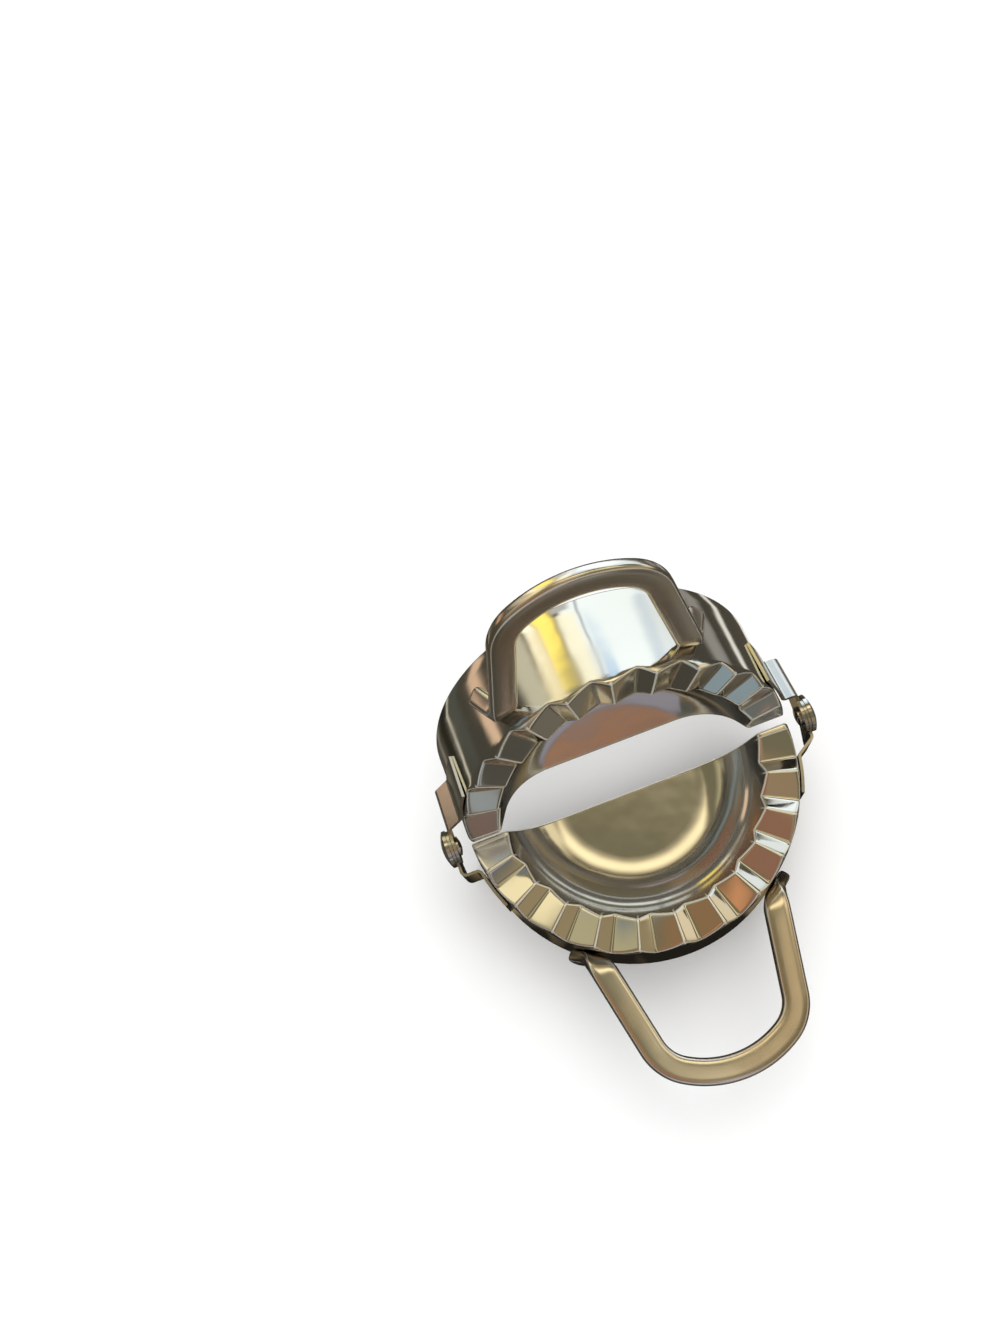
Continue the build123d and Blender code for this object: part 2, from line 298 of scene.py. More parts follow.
@dataclass
class StampedHalf:
    """One stamped half: cutting skirt, toothed sealing ring and half-round pocket.

    The working face is a grid of profiles, one for each azimuth round the ring. The other
    face is the same grid moved in by the sheet's thickness, and a rounded edge joins them.
    A profile runs through skirt, shoulder, ring, mouth, pocket wall and bowl. Its points
    are the grid's rows, and the ROWS below say which of them are painted pale: painted
    highlights, a painted reflection on the first face and a paler pocket wall.
    """

    END_AZIMUTHS = (0.0, 0.7, 1.4)
    BEND_STEPS = (-1.3, -0.95, -0.6, -0.3, 0.0, 0.3, 0.6, 0.95, 1.3)
    LONG_FACE_CELLS = 5
    STEEP_FACE_CELLS = 3
    SHOULDER_TURNS = 12
    SKIRT_POINTS = 14
    SKIRT_EASE = 1.7
    BEND_POINTS = 9
    RING_POINTS = 5
    WALL_POINTS = 4
    BOWL_POINTS = 22
    LEVEL_SAMPLES = 11
    SHOULDER_ROWS = slice(17, 19)
    CREST_ROWS = slice(15, 37)
    END_ROWS = slice(20, 33)
    MOUTH_ROWS = slice(31, 34)
    POCKET_WALL_ROWS = range(35, 55)

    half: Half
    rim_radius: float = 35.0 * MM
    rim_flare: float = 0.5 * MM
    skirt_height: float = 21.0 * MM
    sheet: float = 0.6 * MM
    shoulder_radius: float = 4.0 * MM
    shoulder_start: float = 1.2 * MM
    hinge_edge_gap: float = 0.3 * MM
    tooth_height: float = 1.0 * MM
    tooth_pitch: float = 15.0
    tooth_steep_width: float = 5.4
    tooth_count: int = 11
    seal_gap: float = 0.15 * MM
    ring_width: float = 7.1 * MM
    pocket_wall_angle: float = 29.0
    pocket_wall_depth: float = 3.5 * MM
    pocket_depth: float = 9.4 * MM
    pocket_floor_radius: float = 13.8 * MM
    bowl_pulls: tuple[float, float] = (1.9 * MM, 7.6 * MM)
    shoulder_bend: float = 0.95 * MM
    mouth_bend: float = 1.0 * MM
    tooth_bend: float = 0.8
    edge_rounding: float = 0.42 * MM
    trim_ease: tuple[float, float] = (3.0, 2.2)
    lip_outer_inset: float = 1.3 * MM
    lip_inner_overlap: float = 1.5 * MM
    lip_depth: float = 16.8 * MM
    lip_foot_width: float = 2.6 * MM
    lip_notch_depth: float = 8.0 * MM
    lip_corner: float = 0.8 * MM
    lip_setback: float = 0.02 * MM
    # How pale the marked rows are painted: highlights on crests, shoulder and mouth, a painted
    # reflection on the first face, a paler pocket wall.
    crest_width: float = 0.35
    crest_highlight: float = 0.45
    shoulder_highlight: float = 0.35
    mouth_highlight: float = 0.55
    pocket_wall_paling: float = 0.14
    first_face_painted_reflection: float = 0.32
    finish: SteelFinish = POLISHED_SHEET

    @property
    def ring_radius(self) -> float:
        """Outer radius of the skirt at the mating plane."""
        return self.rim_radius - self.rim_flare

    @property
    def first_root(self) -> float:
        """Azimuth of the first tooth root, in degrees."""
        middle = (self.tooth_count - 1) / 2
        return 270 + self.tooth_steep_width / 2 - (middle + 1) * self.tooth_pitch

    @property
    def flat_width(self) -> float:
        """Width of a tooth's long face, in degrees."""
        return self.tooth_pitch - self.tooth_steep_width

    @property
    def crests(self) -> np.ndarray:
        """Azimuths of all the tooth crests, the one at the ring's end included."""
        first_crest = self.first_root + self.flat_width
        return first_crest + self.tooth_pitch * np.arange(self.tooth_count + 1)

    def skirt_radius(self, depth: float) -> float:
        """Return the skirt's outer radius at a depth below the mating plane."""
        return self.ring_radius + self.rim_flare * depth / self.skirt_height

    def tooth_level(self, azimuth: float) -> float:
        """Return the height of the ring's working face at an azimuth.

        Args:
            azimuth: Degrees round the ring.

        Returns:
            Height above the mating plane, with crests and roots bent round.
        """
        near = azimuth + self.tooth_bend * np.linspace(-1, 1, self.LEVEL_SAMPLES)
        held = np.clip(near, self.first_root, self.crests[-1])
        phase = np.mod(held - self.first_root, self.tooth_pitch)
        rising = 2 * phase / self.flat_width - 1
        falling = 1 - 2 * (phase - self.flat_width) / self.tooth_steep_width
        wave = np.where(phase <= self.flat_width, rising, falling)
        return float(self.tooth_height * wave.mean() - self.seal_gap)

    def azimuths(self) -> np.ndarray:
        """Space the grid's azimuths, close together where the sheet bends.

        Returns:
            The azimuths in degrees, from one end of the ring to the other.
        """
        bend = self.tooth_bend * np.array(self.BEND_STEPS)
        found = [180 + step for step in self.END_AZIMUTHS]
        for crest in self.crests:
            root = crest - self.flat_width
            next_root = crest + self.tooth_steep_width
            found += list(root + bend)
            found += list(np.linspace(root, crest, self.LONG_FACE_CELLS + 1)[1:-1])
            found += list(crest + bend)
            found += list(np.linspace(crest, next_root, self.STEEP_FACE_CELLS + 1)[1:-1])
        past_last_crest = self.STEEP_FACE_CELLS - 1
        return np.array(found[:-past_last_crest] + [360 - step for step in self.END_AZIMUTHS[::-1]])

    def skirt_line(self, level: float) -> np.ndarray:
        """Return the skirt and shoulder from the rim up to the ring's level.

        Args:
            level: Height of the ring there.

        Returns:
            Points (radius, height) close enough together to be walked along.
        """
        centre = self.skirt_radius(self.shoulder_start) - self.shoulder_radius
        reach = math.asin((level + self.shoulder_start) / self.shoulder_radius)
        turns = np.linspace(0, reach, self.SHOULDER_TURNS)
        arc = np.c_[
            centre + self.shoulder_radius * np.cos(turns),
            self.shoulder_radius * np.sin(turns) - self.shoulder_start,
        ]
        rim_point = [self.rim_radius, self.edge_rounding - self.skirt_height]
        return np.vstack([rim_point, arc])

    def profile(self, level: float) -> np.ndarray:
        """Return the working face's section at one azimuth, from the rim to the floor.

        Args:
            level: Height of the ring there.

        Returns:
            Points (radius, height), always the same number.
        """
        slope = math.tan(math.radians(self.pocket_wall_angle))
        mouth = self.ring_radius - self.ring_width
        crease = np.array([mouth - self.pocket_wall_depth * slope, -self.pocket_wall_depth])
        inner = np.array([crease[0] + (level + self.pocket_wall_depth) * slope, level])
        line = self.skirt_line(level)
        outer = line[-1]

        run = np.r_[0, np.cumsum(np.linalg.norm(np.diff(line, axis=0), axis=1))]
        steps = 1 - (1 - np.linspace(0, 1, self.SKIRT_POINTS)) ** self.SKIRT_EASE
        steps *= run[-1] - self.shoulder_bend
        skirt = np.c_[np.interp(steps, run, line[:, 0]), np.interp(steps, run, line[:, 1])]
        down_wall = (crease - inner) / np.linalg.norm(crease - inner)
        ring_start = outer - [self.shoulder_bend, 0.0]
        ring_end = inner + [self.mouth_bend, 0.0]
        wall_start = inner + down_wall * self.mouth_bend
        floor_edge = np.array([self.pocket_floor_radius, -self.pocket_depth])
        pull_down, pull_out = self.bowl_pulls
        return np.vstack([
            skirt,
            curve_through(skirt[-1], outer, outer, ring_start, self.BEND_POINTS),
            line_through(ring_start, ring_end, self.RING_POINTS),
            curve_through(ring_end, inner, inner, wall_start, self.BEND_POINTS),
            line_through(wall_start, crease, self.WALL_POINTS),
            curve_through(
                crease,
                crease + down_wall * pull_down,
                floor_edge + [pull_out, 0.0],
                floor_edge,
                self.BOWL_POINTS,
            ),
        ])

    def face_grid(self) -> np.ndarray:
        """Return the working face as a grid of points in the half's own axes.

        Returns:
            Array (azimuth, place along the profile, xyz). Both ends of the grid lie in
            the plane just short of the hinge plane.
        """
        columns = []
        for azimuth in self.azimuths():
            section = self.profile(self.tooth_level(azimuth))
            gap = self.hinge_edge_gap + self.edge_rounding
            trim = np.degrees(np.arcsin(gap / section[:, 0]))
            ease = np.maximum(self.trim_ease[0], self.trim_ease[1] * trim)
            share_start = np.clip((180 + ease - azimuth) / ease, 0, 1)
            share_end = np.clip((azimuth - 360 + ease) / ease, 0, 1)
            turn = np.radians(azimuth + trim * (share_start - share_end))
            columns.append(
                np.c_[section[:, 0] * np.cos(turn), section[:, 0] * np.sin(turn), section[:, 1]]
            )
        return np.array(columns)

    def back_grid(self, face: np.ndarray) -> np.ndarray:
        """Return the other face of the sheet, moved in along the surface's normals.

        Args:
            face: Grid of the working face.

        Returns:
            The other face, as a grid of the same shape.
        """
        around = np.gradient(face, axis=0)
        along = np.gradient(face, axis=1)
        normal = np.cross(around, along)
        normal /= np.linalg.norm(normal, axis=2, keepdims=True)
        back = face - normal * self.sheet
        back[0, :, 1] = back[-1, :, 1] = -self.hinge_edge_gap - self.edge_rounding
        back[:, 0, 2] = self.edge_rounding - self.skirt_height
        return back

    def lip_outline(self, level: float) -> np.ndarray:
        """Return the outline of the lip turned down under one end of the ring.

        Args:
            level: Height of the ring's working face there.

        Returns:
            Points (radius, height). The upper ones lie within the sheet of the ring.
        """
        mouth = self.ring_radius - self.ring_width
        outer = self.ring_radius - self.lip_outer_inset
        inner = mouth - self.lip_inner_overlap
        slope = math.tan(math.radians(self.pocket_wall_angle))
        within = self.sheet / 2 / math.cos(math.radians(self.pocket_wall_angle))
        top = level - self.sheet / 2
        corners = [
            (outer, top),
            (outer, -self.lip_depth),
            (outer - self.lip_foot_width, -self.lip_depth),
            (inner + self.sheet, -self.lip_notch_depth),
            (inner, self.sheet - self.lip_notch_depth),
            (inner, (inner - within - mouth) / slope),
            (mouth + within + top * slope, top),
        ]
        return rounded_corners(np.array(corners), self.lip_corner, (1, 2, 3))

    def build(self, place: Matrix) -> bpy.types.Object:
        """Make the half's mesh and place it.

        Args:
            place: Move from the half's own axes to the frame.

        Returns:
            The new object.
        """
        face = self.face_grid()
        back = self.back_grid(face)
        mesh = SheetMesh(self.edge_rounding)
        self.paint_light_marks(mesh, mesh.add_sheet(face, back))
        for azimuth, side in ((180.0, -1), (360.0, 1)):
            outline = self.lip_outline(self.tooth_level(azimuth))
            mesh.add_plate(outline, side, -self.hinge_edge_gap - self.lip_setback, self.sheet)
        name = f"{self.half.value.split('_')[0]}_stamped_shell"
        return mesh.to_object(name, place)

    def paint_light_marks(self, mesh: "SheetMesh", numbers: np.ndarray) -> None:
        """Paint the working face pale: highlights on crests, shoulder and mouth, a painted
        reflection on the first face, and a paler pocket wall.

        Args:
            mesh: The half's mesh.
            numbers: Numbers of the working face's points, as a grid.
        """
        azimuths = self.azimuths()
        from_crest = np.abs(azimuths[:, None] - self.crests).min(axis=1)
        on_crest = from_crest < self.crest_width * self.tooth_bend
        first_face = azimuths < self.crests[0] - self.tooth_bend
        # Painted highlights along the tooth crests, the shoulder and the mouth.
        mesh.painted_light_and_wear(numbers[on_crest, self.CREST_ROWS], self.crest_highlight)
        mesh.painted_light_and_wear(numbers[:, self.SHOULDER_ROWS], self.shoulder_highlight)
        mesh.painted_light_and_wear(numbers[:, self.MOUTH_ROWS], self.mouth_highlight)
        # Painted reflection: the first tooth's long face is painted duller and paler, standing for
        # the duller light it reflects.
        mesh.painted_light_and_wear(numbers[first_face, self.END_ROWS], self.first_face_painted_reflection)
        # The pocket wall is painted paler towards the middle of its rows.
        turns = np.linspace(0, math.pi, len(self.POCKET_WALL_ROWS) + 2)[1:-1]
        for row, turn in zip(self.POCKET_WALL_ROWS, turns):
            mesh.painted_light_and_wear(numbers[:, row], self.pocket_wall_paling * math.sin(turn))

    def dress(self, piece: bpy.types.Object) -> None:
        """Give the half its finish, and let it stand for its CAD node.

        Args:
            piece: The half's object.
        """
        piece.data.materials.append(self.finish.material())
        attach(piece, self.half.value)
        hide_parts(f"{self.half.value.split('_')[0]}_mould")
        LOG.info("%s: %d faces", piece.name, len(piece.data.polygons))


def line_through(start: np.ndarray, end: np.ndarray, count: int) -> np.ndarray:
    """Return points of a straight line, without its first one."""
    return start + (end - start) * np.linspace(0, 1, count + 1)[1:, None]


def curve_through(
    start: np.ndarray, pull_a: np.ndarray, pull_b: np.ndarray, end: np.ndarray, count: int
) -> np.ndarray:
    """Return points of a cubic curve, without its first one.

    Args:
        start: First point.
        pull_a: Control point after the first.
        pull_b: Control point before the last.
        end: Last point.
        count: Number of points returned.

    Returns:
        Array (count, 2).
    """
    share = np.linspace(0, 1, count + 1)[1:, None]
    rest = 1 - share
    return (
        rest**3 * start
        + 3 * rest**2 * share * pull_a
        + 3 * rest * share**2 * pull_b
        + share**3 * end
    )


# Most of a side that a rounded corner may take, its pull towards the ends, its points.
CORNER_SHARE = 0.45
CORNER_PULL = 0.4
CORNER_POINTS = 5


def rounded_corners(outline: np.ndarray, radius: float, corners: tuple[int, ...]) -> np.ndarray:
    """Round some corners of a closed outline.

    Args:
        outline: Points of the outline.
        radius: How far from the corner the rounding starts.
        corners: Numbers of the points that are rounded.

    Returns:
        Points of the new outline.
    """
    found = []
    for number, corner in enumerate(outline):
        if number not in corners:
            found.append(corner[None])
            continue
        before = outline[number - 1] - corner
        after = outline[(number + 1) % len(outline)] - corner
        sides = [np.linalg.norm(side) for side in (before, after)]
        reach = min(radius, *(CORNER_SHARE * side for side in sides))
        start = corner + before / sides[0] * reach
        end = corner + after / sides[1] * reach
        pulls = [corner * (1 - CORNER_PULL) + point * CORNER_PULL for point in (start, end)]
        found += [start[None], curve_through(start, *pulls, end, CORNER_POINTS)]
    return np.vstack(found)


class SheetMesh:
    """A closed mesh of bent sheet metal, with rounded edges."""

    EDGE_TURNS = (14.0, 28.0, 42.0, 54.0, 66.0, 78.0, 90.0)
    # Turns round the rounded edge, and the share of painted highlight and wear at each turn, more
    # on the hinge edges than on the rim.
    PAINTED_LIGHT_AND_WEAR_TURNS = (14.0, 28.0, 60.0, 90.0)
    PAINTED_LIGHT_AND_WEAR_SHARES = (0.0, 1.0, 1.0, 0.2)
    HINGE_EDGE_HIGHLIGHT_AND_WEAR = 1.0
    RIM_HIGHLIGHT_AND_WEAR = 0.4
    PLATE_ROUNDING = 0.3
    PLATE_REACH = 4.0 * MM

    def __init__(self, rounding: float = 0.0) -> None:
        """Start an empty mesh.

        Args:
            rounding: Radius of the sheet's edges.
        """
        self.rounding = rounding
        self.points: list[np.ndarray] = []
        self.faces: list[tuple[int, ...]] = []
        self.painted_light_and_wear_marks: list[tuple[np.ndarray, float]] = []
        self.count = 0

    def add_points(self, points: np.ndarray) -> np.ndarray:
        """Add points.

        Args:
            points: Array (..., xyz).

        Returns:
            The points' numbers, in the same shape.
        """
        flat = points.reshape(-1, 3)
        numbers = np.arange(self.count, self.count + len(flat)).reshape(points.shape[:-1])
        self.points.append(flat)
        self.count += len(flat)
        return numbers

    def painted_light_and_wear(self, numbers: np.ndarray, amount: float) -> None:
        """Mark points to be painted pale, as painted light and wear, by an amount up to 1."""
        self.painted_light_and_wear_marks.append((numbers.ravel(), amount))

    def add_quads(self, grid: np.ndarray) -> None:
        """Add a quad for each cell of a grid of point numbers."""
        corners = (grid[:-1, :-1], grid[1:, :-1], grid[1:, 1:], grid[:-1, 1:])
        self.faces += list(zip(*(corner.ravel().tolist() for corner in corners)))

    def add_loops(self, rows: list[np.ndarray]) -> None:
        """Add a strip of quads between each pair of neighbouring closed loops."""
        self.add_quads(np.array([np.r_[row, row[:1]] for row in rows]))

    def add_sheet(self, face: np.ndarray, back: np.ndarray) -> np.ndarray:
        """Add both faces of a sheet, its floor caps and the rounded edge between them.

        Args:
            face: Grid of the working face. Its last row borders the flat floor.
            back: Grid of the other face.

        Returns:
            Numbers of the working face's points, as a grid.
        """
        top = self.add_points(face)
        under = self.add_points(back)
        self.add_quads(top)
        self.add_quads(under)
        for border in (top[:, -1], under[:, -1]):
            self.faces.append(tuple(border[[0, 1, 2, -3, -2, -1]].tolist()))
            self.faces.append(tuple(border[2:-2].tolist()))
        loop = np.r_[top[0], top[-1, ::-1], top[-2:0:-1, 0]]
        loop_under = np.r_[under[0], under[-1, ::-1], under[-2:0:-1, 0]]
        outward = np.zeros((len(loop), 3))
        ends = 2 * top.shape[1]
        outward[:ends, 1] = 1.0
        outward[ends:, 2] = -1.0
        outward[[0, ends - 1], 2] = -1.0
        self.add_edge(loop, loop_under, outward)
        return top

    def add_edge(self, loop: np.ndarray, loop_under: np.ndarray, outward: np.ndarray) -> None:
        """Close the sheet along its border with a rounded strip.

        Args:
            loop: Numbers of the border's points on the working face.
            loop_under: Numbers of the same points on the other face.
            outward: For each point, the way out of the sheet.
        """
        every = np.vstack(self.points)
        upper, lower = every[loop], every[loop_under]
        rows = [loop]
        for turn in np.radians(self.EDGE_TURNS):
            down = (lower - upper) * (1 - math.cos(turn))
            rows.append(self.add_points(upper + down + outward * self.rounding * math.sin(turn)))
            # Painted highlight and wear: the middle turns of the rounded edge are painted pale, a
            # bright line on the hinge edges and the rim that also stands for their worn cut steel.
            share = float(np.interp(math.degrees(turn), self.PAINTED_LIGHT_AND_WEAR_TURNS, self.PAINTED_LIGHT_AND_WEAR_SHARES))
            self.painted_light_and_wear(rows[-1][outward[:, 1] > 0], share * self.HINGE_EDGE_HIGHLIGHT_AND_WEAR)
            self.painted_light_and_wear(rows[-1][outward[:, 1] == 0], share * self.RIM_HIGHLIGHT_AND_WEAR)
        self.add_loops([*rows, loop_under])

    def add_plate(self, outline: np.ndarray, side: int, front: float, thickness: float) -> None:
        """Add a flat plate that stands across the hinge plane.

        Args:
            outline: Points (radius, height) of the plate.
            side: 1 for the plate at +X, -1 for its mirror image.
            front: Place on Y of the face towards the hinge plane.
            thickness: Thickness of the plate.
        """
        middle = outline.mean(axis=0)
        bevel = self.PLATE_ROUNDING * self.rounding
        inner = middle + (outline - middle) * (1 - bevel / self.PLATE_REACH)
        rows = []
        for shape, depth in (
            (inner, 0.0), (outline, bevel), (outline, thickness - bevel), (inner, thickness)
        ):
            ring = np.c_[side * shape[:, 0], np.full(len(shape), front - depth), shape[:, 1]]
            rows.append(self.add_points(ring))
        self.add_loops(rows)
        self.faces += [tuple(rows[0].tolist()), tuple(rows[-1].tolist())]

    def to_object(self, name: str, place: Matrix) -> bpy.types.Object:
        """Turn the mesh into an object.

        Args:
            name: Name of the object and its mesh.
            place: Move applied to every point.

        Returns:
            The new object, with its origin at the frame's.
        """
        mesh = bpy.data.meshes.new(name)
        mesh.from_pydata(np.vstack(self.points).tolist(), [], self.faces)
        mesh.transform(place)
        mesh.validate()
        turned = bmesh.new()
        turned.from_mesh(mesh)
        bmesh.ops.recalc_face_normals(turned, faces=turned.faces)
        turned.to_mesh(mesh)
        turned.free()
        mesh.polygons.foreach_set("use_smooth", np.ones(len(mesh.polygons), bool))
        # Each point's share of painted light and wear, which the steel finish reads.
        marks = np.zeros(self.count)
        for numbers, amount in self.painted_light_and_wear_marks:
            marks[numbers] = np.maximum(marks[numbers], amount)
        mesh.attributes.new(PAINTED_LIGHT_AND_WEAR_ATTRIBUTE, "FLOAT", "POINT").data.foreach_set("value", marks)
        made = bpy.data.objects.new(name, mesh)
        bpy.context.scene.collection.objects.link(made)
        return made


# ---- Bar handles ----


@dataclass(frozen=True)
class BarStation:
    """One section of the bent bar: where it is, which way it lies and how large it is."""

    centre: np.ndarray
    inward: np.ndarray
    upward: np.ndarray
    width: float
    thickness: float


@dataclass
class BarHandle:
    """The bent flat bar of one half, with its two pressed feet on the skirt.

    The centre line is drawn for the leg at +X, from the end of its foot to the middle of
    the curved end, and is mirrored for the other leg.
    """

    LEG_POINTS = 10
    CORNER_TURNS = 18
    END_TURNS = 22
    FOOT_POINTS = 6
    FOOT_BEND_POINTS = 12

    half: Half
    skirt: StampedHalf
    bar_width: float = 5.3 * MM
    bar_thickness: float = 3.1 * MM
    level: float = 4.0 * MM
    reach: float = 61.5 * MM
    end_radius: float = 21.0 * MM
    corner_radius: float = 9.0 * MM
    leg_spread: float = 18.6 * MM
    leg_spread_distance: float = 32.0 * MM
    leg_angle: float = 11.5
    leg_stop: float = 4.2 * MM
    foot_thickness: float = 2.6 * MM
    foot_width: float = 3.9 * MM
    foot_outreach: float = 4.6 * MM
    foot_drop: float = 9.0 * MM
    foot_bend_share: float = 0.4
    foot_rounding: float = 0.7 * MM
    foot_end_turns: tuple[float, ...] = (0.0, 25.0, 50.0, 70.0)
    foot_end_shrink: float = 0.32
    foot_end_ease: float = 1.6
    foot_straight_from: float = 0.88
    foot_bend_pull: float = 0.42
    foot_heading_step: float = 0.1
    weld_gap: float = 0.02 * MM
    squareness: float = 3.6
    points_round: int = 48
    # Painted highlight along the bar's rounded corners.
    corner_highlight: float = 0.35
    finish: SteelFinish = SATIN_BAR

    @property
    def leg_way(self) -> np.ndarray:
        """Direction of the leg at +X, from the curved end to the skirt."""
        turn = math.radians(self.leg_angle)
        return np.array([math.sin(turn), math.cos(turn)])

    @property
    def leg_inward(self) -> np.ndarray:
        """Direction across the leg at +X, towards the inside of the loop."""
        return np.array([-self.leg_way[1], self.leg_way[0]])

    def leg_meets(self, radius: float, inset: float = 0.0, ahead: float = 0.0) -> np.ndarray:
        """Find where a line along the leg crosses a circle.

        Args:
            radius: Radius of the circle.
            inset: How far inside the leg's centre line the line runs.
            ahead: Place of the circle's centre on Y.

        Returns:
            The crossing on the side of the curved end.
        """
        start = np.array([self.leg_spread, -self.leg_spread_distance])
        start = start + self.leg_inward * inset
        arm = start - [0.0, ahead]
        along = arm @ self.leg_way
        return start - self.leg_way * (along + math.sqrt(along**2 - arm @ arm + radius**2))

    def flat_station(self, point: np.ndarray, inward: np.ndarray) -> BarStation:
        """Lay a station of the plain bar on its flat centre line.

        Args:
            point: Place on the centre line.
            inward: Direction across the bar.

        Returns:
            The station.
        """
        return BarStation(
            np.array([*point, -self.level]),
            np.array([*inward, 0.0]),
            np.array([0.0, 0.0, 1.0]),
            self.bar_width,
            self.bar_thickness,
        )

    def bend_stations(
        self, centre: np.ndarray, radius: float, turns: np.ndarray
    ) -> list[BarStation]:
        """Lay stations of the plain bar round a bend.

        Args:
            centre: Centre of the bend.
            radius: Radius of the centre line.
            turns: Directions from the centre, in radians.

        Returns:
            A station for each direction.
        """
        ways = np.c_[np.cos(turns), np.sin(turns)]
        return [self.flat_station(centre + way * radius, -way) for way in ways]

    def loop_stations(self) -> list[BarStation]:
        """Lay the stations from the end of the leg to the middle of the curved end.

        Returns:
            The stations in order.
        """
        end_centre = np.array([0.0, self.end_radius + self.bar_width / 2 - self.reach])
        gap = self.end_radius - self.corner_radius
        corner = self.leg_meets(gap, self.corner_radius, end_centre[1])
        leg_end = self.leg_meets(self.skirt.skirt_radius(self.level) + self.leg_stop)
        leg_foot = corner - self.leg_inward * self.corner_radius
        found = [
            self.flat_station(leg_end + (leg_foot - leg_end) * share, self.leg_inward)
            for share in np.linspace(0, 1, self.LEG_POINTS)[:-1]
        ]
        outward = (corner - end_centre) / gap
        last_turn = math.atan2(outward[1], outward[0])
        first_turn = math.atan2(-self.leg_inward[1], -self.leg_inward[0])
        turns = np.linspace(first_turn, last_turn, self.CORNER_TURNS)[:-1]
        found += self.bend_stations(corner, self.corner_radius, turns)
        turns = np.linspace(last_turn, -math.pi / 2, self.END_TURNS)
        return found + self.bend_stations(end_centre, self.end_radius, turns)

    def foot_station(self, share: float) -> BarStation:
        """Lay a station of the foot, which runs out and down along the skirt.

        Args:
            share: How far along the foot the station is.

        Returns:
            The station.
        """
        level = self.level + share * self.foot_drop
        standoff = self.weld_gap + self.foot_thickness / 2
        radius = self.skirt.skirt_radius(level) + standoff
        meet = self.leg_meets(self.skirt.skirt_radius(self.level) + standoff)
        turn = math.atan2(meet[1], meet[0]) + share * self.foot_outreach / radius
        out = np.array([math.cos(turn), math.sin(turn), 0.0])
        heading = np.array([-out[1], out[0], 0.0]) * self.foot_outreach
        heading[2] = -self.foot_drop
        across = np.cross(heading / np.linalg.norm(heading), out)
        centre = out * radius - np.array([0.0, 0.0, level])
        return BarStation(centre, across, -out, self.foot_width, self.foot_thickness)

    def foot_stations(self, leg_end: BarStation) -> list[BarStation]:
        """Return the stations of the foot, from its rounded end to the end of the leg.

        Args:
            leg_end: First station of the plain bar.

        Returns:
            Stations of the foot, without the leg's own.
        """
        found = []
        for turn in np.radians(self.foot_end_turns):
            base = self.foot_station(1 - self.foot_rounding / self.foot_drop * math.sin(turn))
            shrink = 1 - self.foot_end_shrink * (1 - math.sin(turn)) ** self.foot_end_ease
            size = {"width": base.width * shrink, "thickness": base.thickness * shrink}
            found.append(replace(base, **size))
        for share in np.linspace(self.foot_straight_from, self.foot_bend_share, self.FOOT_POINTS):
            found.append(self.foot_station(share))
        bend = found[-1]
        ahead = self.foot_station(self.foot_bend_share - self.foot_heading_step)
        lift = ahead.centre - bend.centre
        lift /= np.linalg.norm(lift)
        away = -np.array([*self.leg_way, 0.0])
        span = np.linalg.norm(leg_end.centre - bend.centre)
        pull_a = bend.centre + lift * span * self.foot_bend_pull
        pull_b = leg_end.centre - away * span * self.foot_bend_pull
        count = self.FOOT_BEND_POINTS
        curve = curve_through(bend.centre, pull_a, pull_b, leg_end.centre, count)[:-1]
        for share, centre in zip(np.linspace(0, 1, count + 1)[1:-1], curve):
            eased = share * share * (3 - 2 * share)
            inward = bend.inward * (1 - eased) + leg_end.inward * eased
            upward = bend.upward * (1 - eased) + leg_end.upward * eased
            inward /= np.linalg.norm(inward)
            upward -= inward * (upward @ inward)
            found.append(
                BarStation(
                    centre,
                    inward,
                    upward / np.linalg.norm(upward),
                    bend.width + (leg_end.width - bend.width) * eased,
                    bend.thickness + (leg_end.thickness - bend.thickness) * eased,
                )
            )
        return found

    def section(self, station: BarStation) -> np.ndarray:
        """Return the points round one station, pressed flat where they meet the skirt.

        Args:
            station: The station.

        Returns:
            Array (points_round, xyz).
        """
        turns = np.linspace(0, 2 * math.pi, self.points_round, endpoint=False)
        across, through = (
            np.sign(wave) * np.abs(wave) ** (2 / self.squareness) * size / 2
            for wave, size in (
                (np.cos(turns), station.width), (np.sin(turns), station.thickness)
            )
        )
        ring = station.centre + np.outer(across, station.inward) + np.outer(through, station.upward)
        radius = np.hypot(ring[:, 0], ring[:, 1])
        nearest = self.skirt.skirt_radius(-ring[:, 2]) + self.weld_gap
        ring[:, :2] *= (np.maximum(radius, nearest) / radius)[:, None]
        return ring

    def build(self, place: Matrix) -> bpy.types.Object:
        """Make the handle's mesh and place it.

        Args:
            place: Move from the half's own axes to the frame.

        Returns:
            The new object.
        """
        loop = self.loop_stations()
        stations = self.foot_stations(loop[0]) + loop
        rings = [self.section(station) for station in stations]
        mirror = np.array([-1.0, 1.0, 1.0])
        rings = np.array(rings + [ring * mirror for ring in rings[-2::-1]])
        centres = rings.mean(axis=1)
        along = np.r_[0, np.cumsum(np.linalg.norm(np.diff(centres, axis=0), axis=1))]
        steps = np.linalg.norm(np.diff(rings[len(rings) // 2], axis=0), axis=1)
        around = np.r_[0, np.cumsum(steps)]
        run = np.zeros(rings.shape)
        run[:, :, 0] = along[:, None]
        run[:, :, 1] = around[None, :]
        mesh = SheetMesh()
        rows = mesh.add_points(rings)
